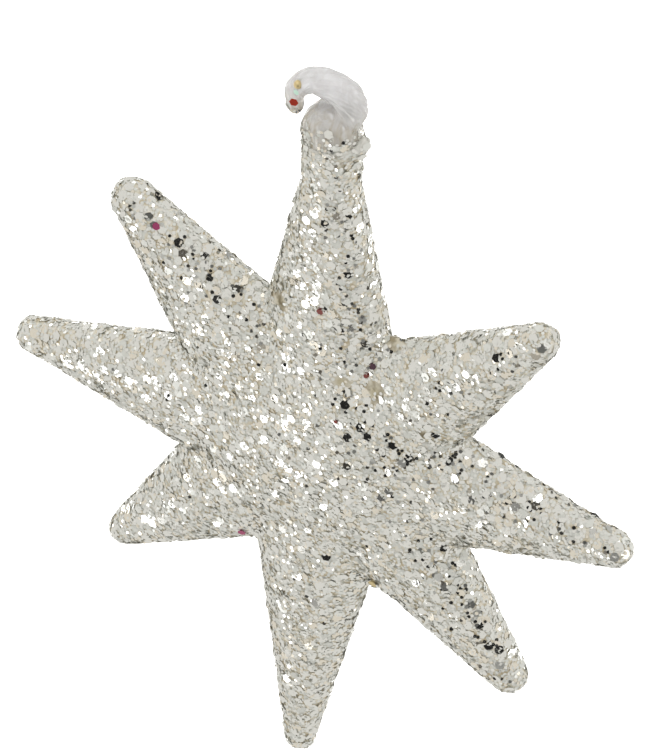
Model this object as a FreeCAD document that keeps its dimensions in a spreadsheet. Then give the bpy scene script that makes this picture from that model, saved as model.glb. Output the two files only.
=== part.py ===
import FreeCAD, Part
import os

# A hanging star ornament, in millimetres.
#
# Frame: the star is flat in the XZ plane and its front faces -Y; +Z is up, along the top ray.
# The origin is the centre of the eye of the glass hook, where the star hangs.
#
# Build: a hollow lens-shaped glass bulb is the hub, and eight hollow drawn glass rays are fused
# onto it.  Seven rays are closed to a round tip; the top one ends in a short neck, which a solid
# glass hook closes.  The glass is coated with clear adhesive, and the adhesive with glitter.
# Both coats are divided along the seams between the rays, so that each ray carries its own.
#
# Every ray is built upright in its own frame: the star's centre is the origin, the ray runs
# along +Z, its width is along X and its thickness along Y.  Its turn about Y then places it.

doc = FreeCAD.newDocument("GlitterStar")
sheet = doc.addObject("Spreadsheet::Sheet", "Sizes")

SHARED_SIZES = {
    "eye_height": (43.45, "height of the hanging eye above the star's centre"),
    "eye_side": (3.65, "how far the star's centre lies to the right of the eye"),
    "glitter_depth": (0.35, "thickness of the glitter coat"),
    "adhesive_depth": (0.25, "thickness of the adhesive under the glitter"),
    "glass_wall": (0.9, "wall of the hub and the rays"),
    "solid_tip": (4.0, "length of solid glass behind a ray's tip"),
    "hub_radius": (15.5, "hub outline, outside the coats"),
    "hub_half_depth": (5.2, "half the thickness of the hub, outside the coats"),
    "tip_flatness": (0.97, "thickness of a ray's tip divided by its width"),
    "depth_taper": (4.5, "angle by which a ray's thickness tapers, each face"),
    "neck_start": (34.3, "height at which the top ray turns into the neck"),
    "neck_end": (39.5, "height of the neck's mouth"),
    "neck_half_width": (3.2, "half the width of the neck, outside the coats"),
    "neck_half_depth": (2.6, "half the thickness of the neck, outside the coats"),
    "top_root_half_width": (10.4, "half the top ray's width, run on to the star's centre"),
    "top_root_half_depth": (4.5, "half the top ray's thickness, run on to the star's centre"),
    "curl_side": (1.05, "how far the curl's centre lies to the right of the eye"),
    "curl_drop": (0.45, "how far the curl's centre lies below the eye"),
    "curl_radius": (3.0, "centreline radius of the hook's curl"),
    "curl_shoulder": (0.8, "how much further out the curl runs over its shoulder"),
    "curl_start": (-15.0, "angle at which the hook's shank turns into the curl"),
    "curl_sweep": (215.0, "angle that the curl turns through"),
    "curl_thick": (1.6, "rod radius at the start of the curl"),
    "curl_thin": (0.7, "rod radius at the hook's tip"),
    "curl_taper": (2.1, "power by which the rod thins along the curl"),
    "shank_run": (2.9, "straight run of rod below the curl"),
    "shank_radius": (2.0, "rod radius at the foot of that run"),
    "bead_half_width": (3.05, "half the width of the bead of glass on the neck's mouth"),
    "bead_half_depth": (2.6, "half the thickness of that bead"),
    "bead_collar": (1.1, "height of the bead's straight side"),
    "bead_crown": (3.2, "height of the dome on top of that"),
    "plug_radius": (0.95, "radius of the glass plug inside the neck"),
    "plug_length": (4.0, "how far the plug reaches down into the neck"),
}

# Ray: turn clockwise from straight up, reach from the star's centre, tip radius, and the
# angle by which each edge tapers.  The rays were drawn by hand, so no two are quite alike.
TIPPED_RAYS = {
    "upper_right": (44.4, 34.9, 2.00, 14.7),
    "right": (90.0, 34.9, 1.95, 16.3),
    "lower_right": (135.0, 33.7, 2.20, 15.8),
    "bottom": (181.4, 44.1, 1.70, 10.4),
    "lower_left": (225.0, 33.8, 1.95, 16.4),
    "left": (268.9, 36.1, 1.95, 15.9),
    "upper_left": (314.0, 34.5, 2.35, 17.0),
}
TOP_TURN = -1.75
RAY_NAMES = ["top"] + list(TIPPED_RAYS)

# Surfaces of the build from the outside in, each with its depth below the glitter's face.
SURFACES = {
    "face": "0",
    "under_glitter": "Sizes.glitter_depth",
    "under_adhesive": "(Sizes.glitter_depth + Sizes.adhesive_depth)",
    "bore": "(Sizes.glitter_depth + Sizes.adhesive_depth + Sizes.glass_wall)",
}
COATED_SURFACES = list(SURFACES)[:-1]
# Each piece of a ray or the hub fills the space between two neighbouring surfaces.
PIECES = {
    "glitter": ("face", "under_glitter"),
    "adhesive": ("under_glitter", "under_adhesive"),
    "glass": ("under_adhesive", "bore"),
}

SEAM_REACH = 60.0        # the seam wedges reach past every tip
SEAM_DEPTH = 30.0        # and past both faces
CURL_SECTIONS = 8        # cross-sections lofted through the curl
WIDE_ENOUGH = 1000.0     # a new section's width, above its depth until its own width is bound


def fill_sheet():
    rows = [(alias, value, note) for alias, (value, note) in SHARED_SIZES.items()]
    rows.append(("top_turn", TOP_TURN, "turn of the top ray"))
    for name, sizes in TIPPED_RAYS.items():
        for word, value in zip(("turn", "reach", "tip", "taper"), sizes):
            rows.append((f"{name}_{word}", value, f"{name.replace('_', ' ')} ray: {word}"))
    for number, (alias, value, note) in enumerate(rows, start=1):
        sheet.set(f"A{number}", note)
        sheet.set(f"B{number}", str(value))
        sheet.setAlias(f"B{number}", alias)
    doc.recompute()


def add(kind, name, **expressions):
    """Add an object and bind the given properties to expressions."""
    thing = doc.addObject(kind, name)
    for prop, text in expressions.items():
        thing.setExpression(prop, text)
    return thing


def boolean(kind, name, base, tool):
    thing = doc.addObject(kind, name)
    thing.Base = base
    thing.Tool = tool
    return thing


def at_height(height):
    return f"placement(vector(0; 0; {height}); rotation(vector(0; 0; 1); 0))"


def on_star(turn="0"):
    """Placement that takes a piece from its own frame to the star, turned clockwise."""
    centre = "vector(Sizes.eye_side; 0; -Sizes.eye_height)"
    return f"placement({centre}; rotation(vector(0; 1; 0); {turn}))"


def compound(name, member, placement):
    """The same shape again, in another place."""
    copy = add("Part::Compound", name, Placement=placement)
    copy.Links = [member]
    return copy


def ellipse(name, half_width, half_depth, height):
    section = add("Part::Ellipse", name, Placement=at_height(height))
    section.MajorRadius = WIDE_ENOUGH
    section.setExpression("MinorRadius", half_depth)
    section.setExpression("MajorRadius", half_width)
    return section


def dome(name, half_width, half_depth, rise, height, from_angle="0"):
    """The part of an ellipsoid above one of its latitudes, standing on +Z."""
    return add("Part::Ellipsoid", name, Radius1=rise, Radius2=half_width, Radius3=half_depth,
               Angle1=from_angle, Placement=at_height(height))


def loft(name, sections, ruled=True):
    body = doc.addObject("Part::Loft", name)
    body.Sections = sections
    body.Solid = True
    body.Ruled = ruled
    return body


def tipped_ray_body(name, surface):
    """A flattened cone with a round tip that it runs into without a step."""
    depth = SURFACES[surface]
    prefix = f"{name}_{surface}"
    reach, tip, taper = (f"Sizes.{name}_{word}" for word in ("reach", "tip", "taper"))
    radius = f"({tip} - {depth})"
    centre = f"({reach} - {tip})"
    root = ellipse(
        f"{prefix}_root",
        f"{radius} / cos({taper}) + {centre} * tan({taper})",
        f"{radius} * Sizes.tip_flatness + {centre} * tan(Sizes.depth_taper)",
        "0")
    if surface == "bore":
        end_width = f"{radius} / cos({taper}) + Sizes.solid_tip * tan({taper})"
        end_depth = f"{radius} * Sizes.tip_flatness + Sizes.solid_tip * tan(Sizes.depth_taper)"
        end_height = f"{centre} - Sizes.solid_tip"
        cap = dome(f"{prefix}_cap", end_width, end_depth, end_width, end_height)
    else:
        end_width = f"{radius} * cos({taper})"
        end_depth = f"{end_width} * Sizes.tip_flatness"
        end_height = f"{centre} + {radius} * sin({taper})"
        cap = dome(f"{prefix}_cap", radius, f"{radius} * Sizes.tip_flatness", radius, centre,
                   from_angle=taper)
    end = ellipse(f"{prefix}_end", end_width, end_depth, end_height)
    return boolean("Part::Fuse", f"{prefix}_body", loft(f"{prefix}_cone", [root, end]), cap)


def top_ray_body(surface):
    """The ray that the star hangs by: a flattened cone, then a neck of even width."""
    depth = SURFACES[surface]
    prefix = f"top_{surface}"
    neck_width = f"Sizes.neck_half_width - {depth}"
    neck_depth = f"Sizes.neck_half_depth - {depth}"
    sections = [
        ellipse(f"{prefix}_root", f"Sizes.top_root_half_width - {depth}",
                f"Sizes.top_root_half_depth - {depth}", "0"),
        ellipse(f"{prefix}_shoulder", neck_width, neck_depth, "Sizes.neck_start"),
        ellipse(f"{prefix}_mouth", neck_width, neck_depth, "Sizes.neck_end"),
    ]
    return loft(f"{prefix}_body", sections)


def ray_body(name, surface):
    return top_ray_body(surface) if name == "top" else tipped_ray_body(name, surface)


def hub_body(surface):
    depth = SURFACES[surface]
    return add("Part::Ellipsoid", f"hub_{surface}_body",
               Radius1=f"Sizes.hub_radius - {depth}", Radius2=f"Sizes.hub_radius - {depth}",
               Radius3=f"Sizes.hub_half_depth - {depth}")


def seam_wedge(name):
    """Slice of a disc between the seams half way to each neighbouring ray."""
    place = RAY_NAMES.index(name)
    before, after = RAY_NAMES[place - 1], RAY_NAMES[(place + 1) % len(RAY_NAMES)]
    turn_before = f"Sizes.{before}_turn" + (" - 360" if place == 0 else "")
    turn_after = f"Sizes.{after}_turn" + (" + 360" if after == "top" else "")
    first_seam = f"(({turn_before}) - Sizes.{name}_turn) / 2"
    wedge = add("Part::Cylinder", f"{name}_wedge", Angle=f"(({turn_after}) - ({turn_before})) / 2")
    wedge.Radius = SEAM_REACH
    wedge.Height = SEAM_DEPTH
    wedge.setExpression("Placement", (
        f"placement(vector(0; {-SEAM_DEPTH / 2}; 0); "
        f"rotation(vector(0; 1; 0); {first_seam} - 90) * rotation(vector(1; 0; 0); -90))"))
    return wedge


def label(thing, node):
    """Name a finished sub-part and keep it for the check and the export."""
    thing.Label = node
    nodes.append(thing)


def make_ray(name):
    """The three pieces of one ray, and its solids below each coat, set on the star."""
    wedge = seam_wedge(name)
    place = on_star(f"Sizes.{name}_turn")
    bodies = {surface: ray_body(name, surface) for surface in SURFACES}
    clipped = {surface: boolean("Part::Common", f"{name}_{surface}_clipped", bodies[surface], wedge)
               for surface in COATED_SURFACES}
    for piece, (outer, inner) in PIECES.items():
        shell = boolean("Part::Cut", f"{name}_{piece}_shell", clipped[outer], bodies[inner])
        node = boolean("Part::Cut", f"{name}_{piece}", shell, hubs[outer])
        node.setExpression("Placement", place)
        label(node, f"ray_{name}_{piece}")
    for surface, body in clipped.items():
        placed_rays[surface].append(compound(f"{name}_{surface}_placed", body, place))


def make_hub():
    """The hub's bulb, and its two coats, which show between the rays on the front and back."""
    for piece, (outer, inner) in PIECES.items():
        shell = boolean("Part::Cut", f"hub_{piece}_shell", hubs[outer], hubs[inner])
        node = compound(f"hub_{piece}_placed", shell, on_star())
        for number, ray in enumerate(placed_rays.get(inner, []), start=1):
            node = boolean("Part::Cut", f"hub_{piece}_cut_{number}", node, ray)
        label(node, f"hub_{piece}")


def curl_place(angle, past=("0", "0")):
    """Placement on the curl's centreline, moved on by a run along X and a rise along Z."""
    radius = f"(Sizes.curl_radius + Sizes.curl_shoulder * max(0; cos({angle})) * sin(2 * {angle}))"
    run, rise = past
    return (f"placement(vector(Sizes.curl_side + {radius} * cos({angle}) + {run}; 0; "
            f"{radius} * sin({angle}) - Sizes.curl_drop + {rise}); "
            f"rotation(vector(0; 1; 0); -{angle}))")


def curl_section(number):
    """One round section of the curl, in a plane through the curl's centre."""
    share = number / (CURL_SECTIONS - 1)
    thinning = f"(Sizes.curl_thin - Sizes.curl_thick) * {share} ^ Sizes.curl_taper"
    return add("Part::Circle", f"curl_section_{number}",
               Radius=f"Sizes.curl_thick + {thinning}",
               Placement=curl_place(f"(Sizes.curl_start + Sizes.curl_sweep * {share})"))


def hook_rod():
    """A rod that leans over from its foot in the bead and thins along the curl to a round tip."""
    start = "Sizes.curl_start"
    back = (f"Sizes.shank_run * sin({start})", f"-Sizes.shank_run * cos({start})")
    foot = add("Part::Circle", "shank_foot", Radius="Sizes.shank_radius",
               Placement=curl_place(start, past=back))
    sections = [curl_section(number) for number in range(CURL_SECTIONS)]
    rod = loft("hook_rod", [foot] + sections, ruled=False)
    tip = add("Part::Sphere", "hook_tip", Radius="Sizes.curl_thin", Angle1="0")
    tip.setExpression("Placement", f"{sections[-1].Name}.Placement")
    return boolean("Part::Fuse", "hook_curl", rod, tip)


def hook_bead():
    """The bead that closes the neck's mouth: a straight collar under a dome."""
    rim = "(Sizes.neck_end + Sizes.bead_collar)"
    widths = ("Sizes.bead_half_width", "Sizes.bead_half_depth")
    collar = loft("bead_side", [ellipse("bead_foot", *widths, "Sizes.neck_end"),
                                ellipse("bead_rim", *widths, rim)])
    crown = dome("bead_top", *widths, "Sizes.bead_crown", rim)
    return boolean("Part::Fuse", "hook_bead", collar, crown)


def make_hook():
    """A glass bead on the neck's mouth, the plug below it and the rod that curls over the eye."""
    neck_place = on_star("Sizes.top_turn")
    plug = add("Part::Cylinder", "hook_plug", Radius="Sizes.plug_radius",
               Height="Sizes.plug_length",
               Placement=at_height("Sizes.neck_end - Sizes.plug_length"))
    bead_placed = compound("hook_bead_placed", hook_bead(), neck_place)
    plug_placed = compound("hook_plug_placed", plug, neck_place)
    above = boolean("Part::Fuse", "hook_above", hook_rod(), bead_placed)
    trimmed = boolean("Part::Cut", "hook_trimmed", above, placed_rays["face"][0])
    label(boolean("Part::Fuse", "hook", trimmed, plug_placed), "hanging_hook")


def check_document():
    doc.recompute()
    for thing in doc.Objects:
        if {"Invalid", "Error"} & set(thing.State):
            raise RuntimeError(f"{thing.Name} failed: {thing.State}")
    for node in nodes:
        if node.Shape.isNull() or not node.Shape.isValid() or not node.Shape.Solids:
            raise RuntimeError(f"{node.Label} has no valid solid")


nodes = []
placed_rays = {surface: [] for surface in COATED_SURFACES}
fill_sheet()
hubs = {surface: hub_body(surface) for surface in SURFACES}
for ray in RAY_NAMES:
    make_ray(ray)
make_hub()
make_hook()
check_document()

os.makedirs("parts", exist_ok=True)
for node in nodes:
    node.Shape.exportStep(f"parts/{node.Label}.step")
    print(f"{node.Label:28s} {len(node.Shape.Solids)} solid(s) {node.Shape.Volume:9.2f} mm3")
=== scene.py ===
import math
from collections import defaultdict
from itertools import product

import bmesh
import bpy
import numpy as np
from mathutils import Matrix, Vector, noise


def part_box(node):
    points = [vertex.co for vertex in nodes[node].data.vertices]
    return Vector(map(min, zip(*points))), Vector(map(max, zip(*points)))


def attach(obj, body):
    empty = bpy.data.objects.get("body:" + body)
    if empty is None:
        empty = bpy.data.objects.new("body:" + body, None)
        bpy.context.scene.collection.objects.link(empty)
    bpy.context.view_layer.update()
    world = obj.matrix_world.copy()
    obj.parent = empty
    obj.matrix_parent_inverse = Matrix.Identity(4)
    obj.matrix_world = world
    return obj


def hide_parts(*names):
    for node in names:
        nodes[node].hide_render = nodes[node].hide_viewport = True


MM = 0.001
SEED = 8

# ------------------------------------------------------------------ frame

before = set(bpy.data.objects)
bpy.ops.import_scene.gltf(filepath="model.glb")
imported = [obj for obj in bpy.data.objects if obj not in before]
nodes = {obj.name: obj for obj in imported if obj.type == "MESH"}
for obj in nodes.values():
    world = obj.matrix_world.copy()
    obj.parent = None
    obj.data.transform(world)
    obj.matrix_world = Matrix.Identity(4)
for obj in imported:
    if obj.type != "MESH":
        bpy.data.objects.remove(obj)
bpy.context.view_layer.update()
RAYS = ["top", "upper_right", "right", "lower_right", "bottom", "lower_left", "left", "upper_left"]
PARTS = ["hub"] + [f"ray_{ray}" for ray in RAYS]


def middle_of(node):
    """The middle of a node's box."""
    low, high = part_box(node)
    return (low + high) / 2


STAR_CENTRE = middle_of("hub_glass")
NECK_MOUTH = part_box("ray_top_glitter")[1].z     # height at which the neck ends and the bead begins
NECK_FADE = 1.6 * MM                            # the coat changes over this stretch below the mouth


def direction_of(ray):
    """Unit vector in the star's plane from its centre along a ray."""
    way = middle_of(f"ray_{ray}_glass") - STAR_CENTRE
    return Vector((way.x, 0, way.z)).normalized()


def from_centre(place):
    """A place given in mm from the star's centre, in the frame."""
    return STAR_CENTRE + Vector(place) * MM


def towards(azimuth, elevation):
    """Unit vector from the star; azimuth 0 is its front, and angles are in radians."""
    level = math.cos(elevation)
    return Vector((math.sin(azimuth) * level, -math.cos(azimuth) * level, math.sin(elevation)))


RAY_WAYS = {ray: direction_of(ray) for ray in RAYS}

# ------------------------------------------------------------------ camera

VIEW_AZIMUTH, VIEW_ELEVATION, VIEW_ROLL = (math.radians(a) for a in (25.3, 41.3, 3.3))
VIEW_DISTANCE = 0.764
LENS = 357
NEAREST = 0.01
AIM_RIGHT, AIM_UP = 0.2 * MM, 6.45 * MM         # where the picture's middle is, from the star's centre


def add_camera():
    """The photo's camera, fitted to the outline of the star."""
    back = towards(VIEW_AZIMUTH, VIEW_ELEVATION)
    level = Vector((math.cos(VIEW_AZIMUTH), math.sin(VIEW_AZIMUTH), 0))
    upright = back.cross(level)
    right = level * math.cos(VIEW_ROLL) + upright * math.sin(VIEW_ROLL)
    up = upright * math.cos(VIEW_ROLL) - level * math.sin(VIEW_ROLL)
    data = bpy.data.cameras.new("camera")
    data.lens = LENS
    data.clip_start = NEAREST
    camera = bpy.data.objects.new("camera", data)
    place = STAR_CENTRE + right * AIM_RIGHT + up * AIM_UP + back * VIEW_DISTANCE
    axes = Matrix((right, up, back)).transposed().to_4x4()
    camera.matrix_world = Matrix.Translation(place) @ axes
    bpy.context.scene.collection.objects.link(camera)
    bpy.context.scene.camera = camera


add_camera()

# ------------------------------------------------------------------ helpers


def link(name, mesh):
    """A new object with this mesh, placed in the scene."""
    thing = bpy.data.objects.new(name, mesh)
    bpy.context.scene.collection.objects.link(thing)
    return thing


def applied(thing):
    """The mesh of a thing with its modifiers applied."""
    evaluated = thing.evaluated_get(bpy.context.evaluated_depsgraph_get())
    return bpy.data.meshes.new_from_object(evaluated)


def mesh_points(mesh):
    """The mesh's points, one row each."""
    points = np.empty(len(mesh.vertices) * 3)
    mesh.vertices.foreach_get("co", points)
    return points.reshape(-1, 3)


def mesh_normals(mesh):
    """The smooth normals at the mesh's points, one row each."""
    normals = np.empty(len(mesh.vertices) * 3)
    mesh.vertices.foreach_get("normal", normals)
    return normals.reshape(-1, 3)


def set_points(mesh, points):
    """Move the mesh's points to new places."""
    mesh.vertices.foreach_set("co", np.asarray(points, np.float32).ravel())
    mesh.update()


def add_ball(work, centre, radius):
    """Add a closed round ball to a mesh that is being built."""
    bmesh.ops.create_icosphere(work, subdivisions=3, radius=radius, matrix=Matrix.Translation(centre))


def rounded_union(name, sources, blobs, voxel, smoothings):
    """One closed smooth skin round several closed meshes and (centre, radius) blobs."""
    work = bmesh.new()
    for source in sources:
        work.from_mesh(source.data)
    for centre, radius in blobs:
        add_ball(work, centre, radius)
    mesh = bpy.data.meshes.new(name)
    work.to_mesh(mesh)
    work.free()
    thing = link(name, mesh)
    remesh = thing.modifiers.new("remesh", "REMESH")
    remesh.mode = "VOXEL"
    remesh.voxel_size = voxel
    smooth = thing.modifiers.new("smooth", "SMOOTH")
    smooth.factor = 0.5
    smooth.iterations = smoothings
    thing.data = applied(thing)
    thing.modifiers.clear()
    thing.data.name = name
    return thing


def smooth_shade(mesh):
    """Shade the mesh as a smooth surface."""
    mesh.polygons.foreach_set("use_smooth", [True] * len(mesh.polygons))


# ------------------------------------------------------------------ materials


def new_material(name):
    """A new material, its node tree and its shader."""
    material = bpy.data.materials.new(name)
    material.use_nodes = True
    tree = material.node_tree
    return material, tree, tree.nodes["Principled BSDF"]


def flake_material(name, colour, metallic, roughness):
    """Plain film, the same all over: the flakes differ by their kind and their lean."""
    material, _, shader = new_material(name)
    shader.inputs["Base Color"].default_value = (*colour, 1)
    shader.inputs["Metallic"].default_value = metallic
    shader.inputs["Roughness"].default_value = roughness
    return material


def noise_node(tree, scale, detail=3.0, roughness=0.55, stretch=(1, 1, 1)):
    """Noise over the object; a stretch below 1 along an axis draws it out that way."""
    coordinates = tree.nodes.new("ShaderNodeTexCoord")
    squash = tree.nodes.new("ShaderNodeVectorMath")
    squash.operation = "MULTIPLY"
    squash.inputs[1].default_value = stretch
    tree.links.new(coordinates.outputs["Object"], squash.inputs[0])
    texture = tree.nodes.new("ShaderNodeTexNoise")
    texture.inputs["Scale"].default_value = scale
    texture.inputs["Detail"].default_value = detail
    texture.inputs["Roughness"].default_value = roughness
    tree.links.new(squash.outputs["Vector"], texture.inputs["Vector"])
    return texture


def ramp_node(tree, source, stops):
    """Colours for a source's values, from (value, colour) stops in rising order."""
    ramp = tree.nodes.new("ShaderNodeValToRGB")
    elements = ramp.color_ramp.elements
    while len(elements) < len(stops):
        elements.new(0.5)
    for element, (position, colour) in zip(elements, stops):
        element.position = position
        element.color = (*colour, 1)
    tree.links.new(source, ramp.inputs["Fac"])
    return ramp


def height_fade(tree, start, end):
    """A value that goes from 0 at one height to 1 at another, up or down, as a node output."""
    coordinates = tree.nodes.new("ShaderNodeTexCoord")
    split = tree.nodes.new("ShaderNodeSeparateXYZ")
    fade = tree.nodes.new("ShaderNodeMapRange")
    fade.inputs["From Min"].default_value = start
    fade.inputs["From Max"].default_value = end
    tree.links.new(coordinates.outputs["Object"], split.inputs["Vector"])
    tree.links.new(split.outputs["Z"], fade.inputs["Value"])
    return fade.outputs["Result"]


def mix_node(tree, blend):
    """A colour mix of inputs A and B."""
    mix = tree.nodes.new("ShaderNodeMix")
    mix.data_type = "RGBA"
    mix.blend_type = blend
    return mix


def bump_node(tree, shader, source, strength, distance):
    """Bumps on a shader's surface that follow a source, distance high at full strength."""
    bump = tree.nodes.new("ShaderNodeBump")
    bump.inputs["Strength"].default_value = strength
    bump.inputs["Distance"].default_value = distance
    tree.links.new(source, bump.inputs["Height"])
    tree.links.new(bump.outputs["Normal"], shader.inputs["Normal"])


# Places on the front where the coat is thin: x and z from the star's centre and radius, in mm.
# Brown adhesive shows there: in full within POOL_CORE radii, and none beyond POOL_RIM radii.
BARE_SPOTS = [(7.7, 18.4, 1.4), (2.9, 11.7, 1.0), (6.6, 11.5, 1.2), (12.3, 8.1, 0.8), (4.9, -11.4, 0.8),
              (-4.8, 18.5, 1.0)]
POOL_RIM, POOL_CORE = 1.3, 0.3

# Colours by noise value, and the noise's scales.
ADHESIVE_COLOURS = [(0.36, (0.70, 0.61, 0.44)), (0.50, (0.90, 0.86, 0.74)), (0.62, (0.97, 0.95, 0.90))]
POOL_COLOURS = [(0.42, (0.20, 0.16, 0.08)), (0.56, (0.60, 0.54, 0.38))]
MOUTH_COLOUR = (0.88, 0.87, 0.83, 1)
ADHESIVE_CLOUDS, ADHESIVE_GRAIN = 700, 2600
GLASS_COLOURS = [(0.38, (0.91, 0.90, 0.88)), (0.50, (0.97, 0.97, 0.96)), (0.56, (1.0, 1.0, 1.0))]
STREAK_COLOURS = [(0.42, (0.84, 0.80, 0.72)), (0.56, (1.0, 1.0, 1.0))]
BEAD_TINT, CURL_TINT = (1.0, 0.96, 0.88, 1), (0.95, 0.95, 1.0, 1)
GLASS_SWIRLS, GLASS_STREAKS, GLASS_GRAIN = 420, 1500, 1300
GLASS_CLEARS = 1.5 * MM                 # height at which the glass has lost its beige tint
BEAD_MIDDLE = -1.5 * MM                 # below this height the glass is streaked all through
INNER_GLASS_COLOUR, INNER_GLASS_WAVES = (0.80, 0.82, 0.80, 1), 150


def near_spot(tree, flat_place, spot):
    """1 in the middle of a bare spot and 0 outside it, as a node output."""
    x, z, radius = spot
    reach = tree.nodes.new("ShaderNodeVectorMath")
    reach.operation = "DISTANCE"
    reach.inputs[1].default_value = (STAR_CENTRE.x + x * MM, 0, STAR_CENTRE.z + z * MM)
    tree.links.new(flat_place, reach.inputs[0])
    fade = tree.nodes.new("ShaderNodeMapRange")
    fade.inputs["From Min"].default_value = radius * MM * POOL_RIM
    fade.inputs["From Max"].default_value = radius * MM * POOL_CORE
    tree.links.new(reach.outputs["Value"], fade.inputs["Value"])
    return fade.outputs["Result"]


def near_bare_spots(tree):
    """1 in the middle of any bare spot and 0 outside them all, as a node output."""
    coordinates = tree.nodes.new("ShaderNodeTexCoord")
    flat = tree.nodes.new("ShaderNodeVectorMath")
    flat.operation = "MULTIPLY"
    flat.inputs[1].default_value = (1, 0, 1)
    tree.links.new(coordinates.outputs["Object"], flat.inputs[0])
    nearest = near_spot(tree, flat.outputs["Vector"], BARE_SPOTS[0])
    for spot in BARE_SPOTS[1:]:
        larger = tree.nodes.new("ShaderNodeMath")
        larger.operation = "MAXIMUM"
        tree.links.new(nearest, larger.inputs[0])
        tree.links.new(near_spot(tree, flat.outputs["Vector"], spot), larger.inputs[1])
        nearest = larger.outputs["Value"]
    return nearest


def adhesive_material():
    """Dried adhesive: beige in blotches, brown on the bare spots, pale at the neck's mouth."""
    material, tree, shader = new_material("adhesive")
    clouds = noise_node(tree, ADHESIVE_CLOUDS)
    beige = ramp_node(tree, clouds.outputs["Fac"], ADHESIVE_COLOURS)
    brown = ramp_node(tree, clouds.outputs["Fac"], POOL_COLOURS)
    with_pools = mix_node(tree, "MIX")
    tree.links.new(near_bare_spots(tree), with_pools.inputs["Factor"])
    tree.links.new(beige.outputs["Color"], with_pools.inputs["A"])
    tree.links.new(brown.outputs["Color"], with_pools.inputs["B"])
    with_mouth = mix_node(tree, "MIX")
    fade = height_fade(tree, NECK_MOUTH - NECK_FADE, NECK_MOUTH)
    tree.links.new(fade, with_mouth.inputs["Factor"])
    tree.links.new(with_pools.outputs["Result"], with_mouth.inputs["A"])
    with_mouth.inputs["B"].default_value = MOUTH_COLOUR
    tree.links.new(with_mouth.outputs["Result"], shader.inputs["Base Color"])
    shader.inputs["Roughness"].default_value = 0.3
    grain = noise_node(tree, ADHESIVE_GRAIN)
    bump_node(tree, shader, grain.outputs["Fac"], strength=0.5, distance=0.1 * MM)
    return material


def glass_material():
    """Slightly milky glass: swirled all through, warmer towards the neck, streaked in the bead."""
    material, tree, shader = new_material("hook_glass")
    swirls = noise_node(tree, GLASS_SWIRLS, detail=4.0)
    swirls.inputs["Distortion"].default_value = 2.2
    swirled = ramp_node(tree, swirls.outputs["Fac"], GLASS_COLOURS)
    tint = mix_node(tree, "MIX")
    tint.inputs["A"].default_value = BEAD_TINT
    tint.inputs["B"].default_value = CURL_TINT
    tree.links.new(height_fade(tree, NECK_MOUTH, GLASS_CLEARS), tint.inputs["Factor"])
    tinted = mix_node(tree, "MULTIPLY")
    tinted.inputs["Factor"].default_value = 1
    tree.links.new(swirled.outputs["Color"], tinted.inputs["A"])
    tree.links.new(tint.outputs["Result"], tinted.inputs["B"])
    streaks = noise_node(tree, GLASS_STREAKS, detail=2.0, stretch=(1, 1, 0.2))
    streaks.inputs["Distortion"].default_value = 0.8
    streak_tint = ramp_node(tree, streaks.outputs["Fac"], STREAK_COLOURS)
    streaked = mix_node(tree, "MULTIPLY")
    tree.links.new(height_fade(tree, GLASS_CLEARS, BEAD_MIDDLE), streaked.inputs["Factor"])
    tree.links.new(tinted.outputs["Result"], streaked.inputs["A"])
    tree.links.new(streak_tint.outputs["Color"], streaked.inputs["B"])
    tree.links.new(streaked.outputs["Result"], shader.inputs["Base Color"])
    shader.inputs["Transmission Weight"].default_value = 0.3
    shader.inputs["Subsurface Weight"].default_value = 0.6
    shader.inputs["Subsurface Radius"].default_value = (1, 1, 1)
    shader.inputs["Subsurface Scale"].default_value = 1.5 * MM
    shader.inputs["Roughness"].default_value = 0.12
    shader.inputs["IOR"].default_value = 1.47
    shader.inputs["Coat Weight"].default_value = 1.0
    shader.inputs["Coat Roughness"].default_value = 0.03
    grain = noise_node(tree, GLASS_GRAIN, stretch=(1, 1, 0.35))
    bump_node(tree, shader, grain.outputs["Fac"], strength=0.5, distance=0.12 * MM)
    return material


def inner_glass_material():
    """The blown glass under the coats: plain, with a faint waviness."""
    material, tree, shader = new_material("inner_glass")
    shader.inputs["Base Color"].default_value = INNER_GLASS_COLOUR
    shader.inputs["Roughness"].default_value = 0.1
    waves = noise_node(tree, INNER_GLASS_WAVES)
    bump_node(tree, shader, waves.outputs["Fac"], strength=0.2, distance=0.1 * MM)
    return material


# Name: colour, metallic, roughness, share of the coarse flakes, share of the fine ones.
FLAKE_KINDS = {
    "flake_silver": ((0.87, 0.87, 0.84), 1.0, 0.10, 0.54, 0.36),
    "flake_satin": ((0.86, 0.87, 0.84), 1.0, 0.28, 0.16, 0.29),
    "flake_pearl": ((0.82, 0.83, 0.79), 0.0, 0.35, 0.18, 0.20),
    "flake_champagne": ((0.87, 0.82, 0.72), 1.0, 0.20, 0.12, 0.15),
}
flake_materials = [flake_material(name, *kind[:3]) for name, kind in FLAKE_KINDS.items()]
PALE_EDGE = list(FLAKE_KINDS).index("flake_pearl")      # the film's edges and backs are pale
COARSE_SHARES, FINE_SHARES = ([kind[place] for kind in FLAKE_KINDS.values()] for place in (3, 4))

# Stray flakes of other colours: colour, metallic, roughness.
STRAY_KINDS = {
    "flake_red": ((0.40, 0.03, 0.01), 0.6, 0.30),
    "flake_brick": ((0.27, 0.07, 0.06), 0.2, 0.25),
    "flake_magenta": ((0.45, 0.07, 0.19), 0.5, 0.25),
    "flake_plum": ((0.17, 0.10, 0.13), 0.3, 0.25),
    "flake_gold": ((0.76, 0.62, 0.34), 1.0, 0.30),
    "flake_green": ((0.62, 0.86, 0.74), 0.3, 0.30),
    "flake_navy": ((0.03, 0.04, 0.09), 0.5, 0.25),
}

# ------------------------------------------------------------------ adhesive skin

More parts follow.
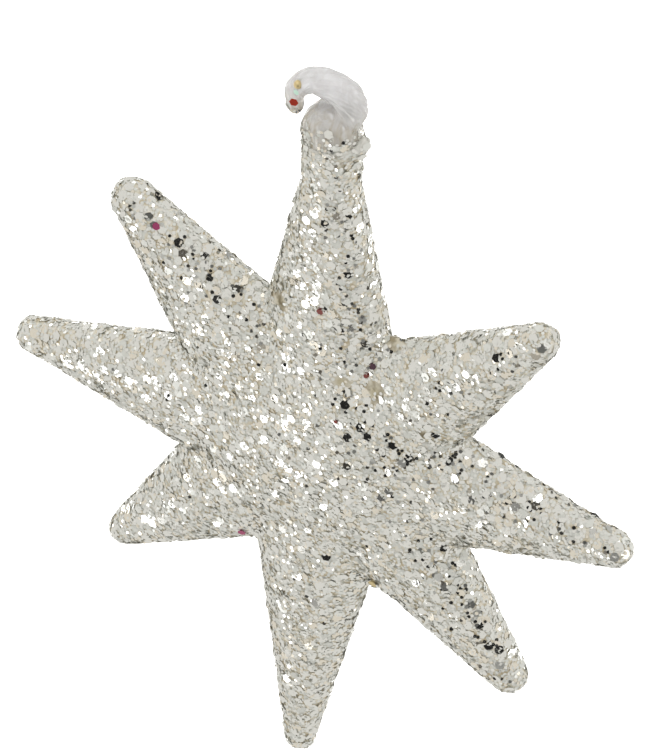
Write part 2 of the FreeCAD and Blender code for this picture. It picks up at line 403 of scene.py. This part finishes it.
SKIN_VOXEL = 0.3 * MM
SKIN_SMOOTHINGS = 8
SKIN_DEPTH = 0.14 * MM           # the skin lies this far below the glitter's face
LUMP_SIZE, LUMP_HEIGHT = 1.6 * MM, 0.12 * MM
# Adhesive that set in drops: place from the star's centre and radius, mm. Two make the drip on
# the right of the neck's mouth, and the others fill the notches between the top ray and the upper
# right one and between the bottom ray and the lower right one.
DROPS = [((2.35, -0.3, 40.5), 0.85), ((2.05, -0.3, 39.6), 0.95), ((7.3, -1.0, 16.7), 1.2),
         ((7.2, -1.0, -15.0), 1.2)]
FILLET_BLOBS = 24
FILLET_REACH = (2.65 * MM, 2.15 * MM)    # half the ring's width and thickness
FILLET_RISE, FILLET_RADIUS = 0.10 * MM, 0.60 * MM


def mouth_fillet():
    """Adhesive that crept up the foot of the bead: a ring of small round blobs."""
    centre = Vector((STAR_CENTRE.x + RAY_WAYS["top"].x * (NECK_MOUTH - STAR_CENTRE.z), 0, NECK_MOUTH))
    blobs = []
    for number in range(FILLET_BLOBS):
        turn = math.tau * number / FILLET_BLOBS
        out = Vector((math.cos(turn) * FILLET_REACH[0], math.sin(turn) * FILLET_REACH[1], 0))
        rise = FILLET_RISE * (1 + noise.noise(out / MM))
        blobs.append((centre + out + Vector((0, 0, rise)), FILLET_RADIUS))
    return blobs


def make_skin():
    """One lumpy skin of adhesive over the hub, the rays and the seams between them."""
    sources = [nodes[f"{part}_{layer}"] for part in PARTS for layer in ("glass", "adhesive", "glitter")]
    drops = [(from_centre(place), radius * MM) for place, radius in DROPS]
    skin = rounded_union("adhesive_skin", sources, drops + mouth_fillet(), SKIN_VOXEL, SKIN_SMOOTHINGS)
    face_points, normals = mesh_points(skin.data), mesh_normals(skin.data)
    lumps = np.array([noise.noise(Vector(p) / LUMP_SIZE) for p in face_points])
    set_points(skin.data, face_points + normals * (lumps * LUMP_HEIGHT - SKIN_DEPTH)[:, None])
    smooth_shade(skin.data)
    skin.data.materials.append(adhesive_material())
    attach(skin, "root")
    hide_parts(*[f"{part}_adhesive" for part in PARTS])
    return skin


skin = make_skin()

# ------------------------------------------------------------------ hook

HOOK_VOXEL, HOOK_SMOOTHINGS = 0.1 * MM, 30
CURL_CENTRE = Vector((1.05, 0, -0.45)) * MM
CURL_RADIUS = 3.1 * MM           # from the curl's centre to the middle of the rod
BEAD_TOP = -1.4 * MM             # below this height the ridges are the bead's
BEAD_BLEND = 1.6 * MM            # over this stretch above it they turn into the rod's
HOOK_GROWTH = 0.07 * MM          # what the remesh and its smoothing take off
# Glass that ran down where the rod leans into the bead.
SHANK_FILLET = [(Vector((3.5, -0.5, -1.5)) * MM, 1.7 * MM),
                (Vector((3.3, -0.5, -2.5)) * MM, 1.95 * MM)]
RIDGE_HEIGHT = 0.16 * MM
RIDGES = 2.4                     # noise cells for each radian round the rod: more make more ridges
FINE_RIDGES = 0.70               # height of the finer ridges between them, as a share
FINE_RATE = 3.1                  # how many times closer together the finer ridges are
TWIST = 1.3                      # turns of the ridges for each turn of the curl
ROD_DRIFT = 0.35                 # how fast the ridges change along the curl, for each radian
BEAD_DRIFT, BEAD_SHIFT = 60, 3   # the same up the bead, for each metre, and where it starts


def layered(place):
    """Broad ridges with finer ones between them."""
    return noise.noise(place * RIDGES) + FINE_RIDGES * noise.noise(place * RIDGES * FINE_RATE)


def ridge(point):
    """Height of the drawn-out ridges at a point, about -1 to 1."""
    out = point - CURL_CENTRE
    along = math.atan2(out.z, out.x)
    round_rod = math.atan2(out.y, math.hypot(out.x, out.z) - CURL_RADIUS) + TWIST * along
    round_bead = math.atan2(point.y, out.x)
    on_rod = layered(Vector((math.cos(round_rod), math.sin(round_rod), ROD_DRIFT * along)))
    up_bead = BEAD_SHIFT + BEAD_DRIFT * point.z
    on_bead = layered(Vector((math.cos(round_bead), math.sin(round_bead), up_bead)))
    share = min(max((BEAD_TOP + BEAD_BLEND - point.z) / BEAD_BLEND, 0), 1)
    return on_rod * (1 - share) + on_bead * share


def make_hook():
    """The hook, with its ridges, in place of the plain one."""
    hook = rounded_union("glass_hook", [nodes["hanging_hook"]], SHANK_FILLET, HOOK_VOXEL,
                         HOOK_SMOOTHINGS)
    points, normals = mesh_points(hook.data), mesh_normals(hook.data)
    heights = np.array([ridge(Vector(point)) for point in points])
    set_points(hook.data, points + normals * (HOOK_GROWTH + RIDGE_HEIGHT * heights)[:, None])
    smooth_shade(hook.data)
    hook.data.materials.append(glass_material())
    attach(hook, "root")
    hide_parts("hanging_hook")
    return hook


hook = make_hook()

# ------------------------------------------------------------------ glitter

rng = np.random.default_rng(SEED)
FLAKE_SIDES = 6
NEXT_CELLS = list(product((-1, 0, 1), repeat=3))    # a grid cell and those round it
HUB_REACH = 9 * MM               # flakes nearer the centre than this go with the hub
BARE_SHARE = 0.35                # share of the flakes that is left on a bare spot
NECK_SHARE = 0.75                # share of the flakes that is left at the neck's mouth
BEAD_SHARE = 0.95                # share of the flakes that is left at the bead's foot
BEAD_FADE = 2.7 * MM             # how far up the bead the flakes reach
# Each cut: tries for each square metre, distance between flakes, radius and its spread, lean
# from the surface, height above it, depth to the point at the back, and share of each kind.
CUTS = {
    "coarse": {"tries": 3e6, "spacing": 0.78 * MM, "radius": 0.57 * MM, "spread": 0.14,
               "tilt": 0.12, "lift": (0.03 * MM, 0.10 * MM), "depth": 0.045 * MM,
               "shares": COARSE_SHARES},
    "fine": {"tries": 2.4e7, "spacing": 0.27 * MM, "radius": 0.23 * MM, "spread": 0.2,
             "tilt": 0.19, "lift": (0.02 * MM, 0.13 * MM), "depth": 0.035 * MM,
             "shares": FINE_SHARES},
}


def triangle_corners(mesh):
    """The three points of each of the mesh's triangles, by number."""
    mesh.calc_loop_triangles()
    corners = np.empty(len(mesh.loop_triangles) * 3, int)
    mesh.loop_triangles.foreach_get("vertices", corners)
    return corners.reshape(-1, 3)


def surface_samples(mesh, density):
    """Random points on a mesh, evenly spread by area, with their smooth normals."""
    corners = triangle_corners(mesh)
    points, normals = mesh_points(mesh), mesh_normals(mesh)
    a, b, c = (points[corners[:, k]] for k in range(3))
    area = np.linalg.norm(np.cross(b - a, c - a), axis=1) / 2
    count = int(area.sum() * density)
    picked = rng.choice(len(corners), count, p=area / area.sum())
    u, v = rng.random(count), rng.random(count)
    folded = u + v > 1
    u[folded], v[folded] = 1 - u[folded], 1 - v[folded]
    weights = np.stack([1 - u - v, u, v], axis=1)[:, :, None]
    spots = (points[corners[picked]] * weights).sum(1)
    ways = (normals[corners[picked]] * weights).sum(1)
    return spots, ways / np.linalg.norm(ways, axis=1)[:, None]


def crowded(spot, cell, cells, spacing):
    """Whether a spot lies nearer than spacing to one in cells, which holds the kept ones."""
    for i, j, k in NEXT_CELLS:
        for x, y, z in cells.get((cell[0] + i, cell[1] + j, cell[2] + k), ()):
            if (x - spot[0]) ** 2 + (y - spot[1]) ** 2 + (z - spot[2]) ** 2 < spacing * spacing:
                return True
    return False


def thin_out(spots, spacing):
    """Indices of spots no nearer to each other than spacing, first come first kept."""
    cells = defaultdict(list)
    kept = []
    grid = np.floor(spots / spacing).astype(int)
    for index, (spot, cell) in enumerate(zip(spots.tolist(), grid.tolist())):
        if not crowded(spot, cell, cells, spacing):
            cells[tuple(cell)].append(spot)
            kept.append(index)
    return np.array(kept)


def flake_frames(normals, tilt):
    """Three axes for each flake: its own normal leans from the skin's by a random tilt."""
    count = len(normals)
    normals = normals + rng.normal(0, tilt, (count, 3))
    normals /= np.linalg.norm(normals, axis=1)[:, None]
    side = np.cross(normals, rng.normal(0, 1, (count, 3)))
    side /= np.linalg.norm(side, axis=1)[:, None]
    return side, np.cross(normals, side), normals


def flake_mesh(name, materials, spots, axes, radii, depths, kinds, edges):
    """Closed six-sided flakes: a flat face over a shallow point.

    kinds and edges number the materials of each flake's face and of its sides.
    """
    side, other, normal = axes
    angles = np.arange(FLAKE_SIDES) * math.tau / FLAKE_SIDES
    rims = [spots + radii[:, None] * (math.cos(t) * side + math.sin(t) * other) for t in angles]
    tips = spots - depths[:, None] * normal
    points = np.stack(rims + [tips], axis=1).reshape(-1, 3)
    size = FLAKE_SIDES + 1
    faces, slots = [], []
    for number in range(len(spots)):
        first = number * size
        faces.append(tuple(range(first, first + FLAKE_SIDES)))
        faces.extend((first + (k + 1) % FLAKE_SIDES, first + k, first + FLAKE_SIDES)
                     for k in range(FLAKE_SIDES))
        slots.extend([kinds[number]] + [edges[number]] * FLAKE_SIDES)
    mesh = bpy.data.meshes.new(name)
    mesh.from_pydata(points.tolist(), [], faces)
    mesh.polygons.foreach_set("material_index", slots)
    for material in materials:
        mesh.materials.append(material)
    mesh.update()
    return mesh


def part_of(spots):
    """The part, by its place in PARTS, whose coat each spot belongs to."""
    away = spots - np.array(STAR_CENTRE)
    away[:, 1] = 0
    reach = np.linalg.norm(away, axis=1)
    ways = np.array([RAY_WAYS[ray] for ray in RAYS])
    nearest = (away @ ways.T).argmax(axis=1) + 1
    return np.where(reach < HUB_REACH, 0, nearest)


def coat_share(spots):
    """Share of the flakes that stays: fewer at the neck's mouth, and few on the bare spots."""
    share = np.clip((NECK_MOUTH - spots[:, 2]) / NECK_FADE, NECK_SHARE, 1)
    for x, z, radius in BARE_SPOTS:
        reach = np.hypot(spots[:, 0] - STAR_CENTRE.x - x * MM, spots[:, 2] - STAR_CENTRE.z - z * MM)
        share[(reach < radius * MM) & (spots[:, 1] < 0)] *= BARE_SHARE
    return share


def bead_share(spots):
    """A few flakes ran up on to the foot of the bead."""
    return np.clip(BEAD_SHARE * (1 - (spots[:, 2] - NECK_MOUTH) / BEAD_FADE), 0, BEAD_SHARE)


def scatter(size):
    """One cut of glitter over the skin and the bead's foot, in one piece for each part."""
    cut = CUTS[size]
    found = []
    for mesh, share in ((skin.data, coat_share), (hook.data, bead_share)):
        spots, normals = surface_samples(mesh, cut["tries"])
        kept = thin_out(spots, cut["spacing"])
        kept = kept[rng.random(len(kept)) < share(spots[kept])]
        found.append((spots[kept], normals[kept]))
    spots, normals = (np.concatenate(pair) for pair in zip(*found))
    spots = spots + normals * rng.uniform(*cut["lift"], len(spots))[:, None]
    axes = flake_frames(normals, cut["tilt"])
    radii = cut["radius"] * rng.uniform(1 - cut["spread"], 1, len(spots))
    kinds = rng.choice(len(flake_materials), len(spots), p=cut["shares"])
    owner = part_of(spots)
    for number, part in enumerate(PARTS):
        own = owner == number
        mesh = flake_mesh(f"{part}_{size}_flakes", flake_materials, spots[own],
                          [axis[own] for axis in axes], radii[own],
                          np.full(own.sum(), cut["depth"]), kinds[own],
                          np.full(own.sum(), PALE_EDGE))
        flakes = link(mesh.name, mesh)
        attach(flakes, "root")
        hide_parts(f"{part}_glitter")


for size in CUTS:
    scatter(size)

# Stray flakes of other colours: kind, host, place from the star's centre and radius, mm.
STRAYS = [
    ("magenta", skin, (-19.5, -1.8, 21.6), 0.42),
    ("magenta", skin, (-8.1, -2.0, -14.8), 0.45),
    ("plum", skin, (5.7, -1.9, 14.0), 0.36),
    ("brick", skin, (0.0, -3.2, 19.8), 0.40),
    ("brick", skin, (5.1, -2.4, 13.1), 0.26),
    ("brick", skin, (3.2, -4.3, 7.3), 0.22),
    ("gold", skin, (7.4, -1.8, -14.9), 0.50),
    ("green", hook, (-4.8, -1.2, 44.8), 0.34),
    ("red", hook, (-5.25, -0.7, 43.0), 0.48),
    ("navy", hook, (-4.9, -0.4, 41.6), 0.32),
]
STRAY_LEAN, STRAY_LIFT, STRAY_DEPTH = 0.05, 0.10 * MM, 0.25 * MM
GOLD_BEAD_PLACE, GOLD_BEAD_RADIUS = (-4.8, -1.5, 45.8), 0.46 * MM    # stuck to the hook's tip


def nearest_on(host, place):
    """The point of a host's mesh nearest to a place given from the star's centre, and its normal."""
    points = mesh_points(host.data)
    nearest = np.linalg.norm(points - np.array(from_centre(place)), axis=1).argmin()
    return points[nearest], mesh_normals(host.data)[nearest]


def add_strays():
    """The stray flakes, in one piece, each lifted a little clear of the glitter round it."""
    spots, normals = [], []
    for _, host, place, _ in STRAYS:
        point, normal = nearest_on(host, place)
        lift = CUTS["fine"]["lift"][1] if host is skin else 0
        spots.append(point + normal * (lift + STRAY_LIFT))
        normals.append(normal)
    kinds = [list(STRAY_KINDS).index(f"flake_{kind}") for kind, *_ in STRAYS]
    radii = np.array([radius for *_, radius in STRAYS]) * MM
    axes = flake_frames(np.array(normals), STRAY_LEAN)
    mesh = flake_mesh("stray_flakes", stray_materials, np.array(spots), axes, radii,
                      np.full(len(STRAYS), STRAY_DEPTH), kinds, kinds)
    flakes = link(mesh.name, mesh)
    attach(flakes, "root")


def add_gold_bead():
    """A round gold bead, half sunk in the hook."""
    ball = bmesh.new()
    add_ball(ball, nearest_on(hook, GOLD_BEAD_PLACE)[0], GOLD_BEAD_RADIUS)
    mesh = bpy.data.meshes.new("gold_bead")
    ball.to_mesh(mesh)
    ball.free()
    smooth_shade(mesh)
    mesh.materials.append(stray_materials[list(STRAY_KINDS).index("flake_gold")])
    bead = link(mesh.name, mesh)
    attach(bead, "root")


stray_materials = [flake_material(name, *look) for name, look in STRAY_KINDS.items()]
add_strays()
add_gold_bead()

# ------------------------------------------------------------------ inner glass

inner_glass = inner_glass_material()
for part in PARTS:
    nodes[f"{part}_glass"].data.materials.clear()
    nodes[f"{part}_glass"].data.materials.append(inner_glass)

# ------------------------------------------------------------------ stage

WHITE = (1, 1, 1, 1)
CARD_BLACK = (0.01, 0.01, 0.01, 1)
STUDIO_COLOUR, STUDIO_STRENGTH = (1.0, 0.983, 0.935, 1), 0.765
FLOOR_SIZE, FLOOR_HEIGHT = 6, -0.35
FLOOR_COLOUR, FLOOR_GLOW = (0.95, 0.95, 0.94, 1), 0.8
# Cards that the flakes mirror: azimuth and elevation in degrees, distance and size in metres, and
# strength. The dark ones make the black specks and the glowing ones the sparkle.
CARDS = {
    "dark_room": (26, 2, 0.5, 0.39, 0.0),
    "low_light": (-33, -31, 0.6, 0.16, 3.0),
    "side_light": (75, 12, 0.6, 0.10, 3.0),
    "top_light": (-40, 70, 0.6, 0.20, 2.5),
    "dark_room_behind": (165, 15, 0.5, 0.18, 0.0),
}
# Behind the star, a low and a high card at each of these azimuths.
AZIMUTHS_BEHIND = (110, 150, 215, 255)
ELEVATIONS_BEHIND = {"low": -24, "high": 30}
BEHIND_DISTANCE, BEHIND_SIZE, BEHIND_STRENGTH = 0.6, 0.13, 3.0


def add_floor():
    """A pale glowing floor for the camera; the flakes neither mirror it nor take its light."""
    bpy.ops.mesh.primitive_plane_add(size=FLOOR_SIZE, location=(0, 0, FLOOR_HEIGHT))
    floor = bpy.context.object
    floor.name = "floor"
    material, _, shader = new_material("floor")
    shader.inputs["Base Color"].default_value = FLOOR_COLOUR
    shader.inputs["Roughness"].default_value = 0.9
    shader.inputs["Emission Color"].default_value = WHITE
    shader.inputs["Emission Strength"].default_value = FLOOR_GLOW
    floor.data.materials.append(material)
    floor.visible_glossy = False
    floor.visible_diffuse = False


def add_card(name, azimuth, elevation, distance, size, strength):
    """A square card, dark or glowing, seen from the star in one direction and facing it."""
    way = towards(math.radians(azimuth), math.radians(elevation))
    mesh = bpy.data.meshes.new(name)
    half = size / 2
    mesh.from_pydata([(-half, -half, 0), (half, -half, 0), (half, half, 0), (-half, half, 0)], [],
                     [(0, 1, 2, 3)])
    card = link(name, mesh)
    card.location = STAR_CENTRE + way * distance
    card.rotation_euler = way.to_track_quat("Z", "Y").to_euler()
    material, _, shader = new_material(name)
    shader.inputs["Base Color"].default_value = CARD_BLACK
    shader.inputs["Roughness"].default_value = 1.0
    shader.inputs["Emission Color"].default_value = WHITE
    shader.inputs["Emission Strength"].default_value = strength
    mesh.materials.append(material)
    card.visible_camera = False


def add_world():
    """Even studio light; the camera itself sees a white surround."""
    world = bpy.data.worlds.new("studio")
    world.use_nodes = True
    tree = world.node_tree
    light = tree.nodes["Background"]
    light.inputs["Color"].default_value = STUDIO_COLOUR
    light.inputs["Strength"].default_value = STUDIO_STRENGTH
    surround = tree.nodes.new("ShaderNodeBackground")
    surround.inputs["Color"].default_value = WHITE
    rays = tree.nodes.new("ShaderNodeLightPath")
    mix = tree.nodes.new("ShaderNodeMixShader")
    tree.links.new(rays.outputs["Is Camera Ray"], mix.inputs["Fac"])
    tree.links.new(light.outputs["Background"], mix.inputs[1])
    tree.links.new(surround.outputs["Background"], mix.inputs[2])
    tree.links.new(mix.outputs["Shader"], tree.nodes["World Output"].inputs["Surface"])
    bpy.context.scene.world = world


add_floor()
add_world()
for name, card in CARDS.items():
    add_card(name, *card)
for number, azimuth in enumerate(AZIMUTHS_BEHIND):
    for height, elevation in ELEVATIONS_BEHIND.items():
        add_card(f"{height}_light_behind_{number}", azimuth, elevation, BEHIND_DISTANCE, BEHIND_SIZE,
                 BEHIND_STRENGTH)
bpy.context.scene.view_settings.view_transform = "Standard"
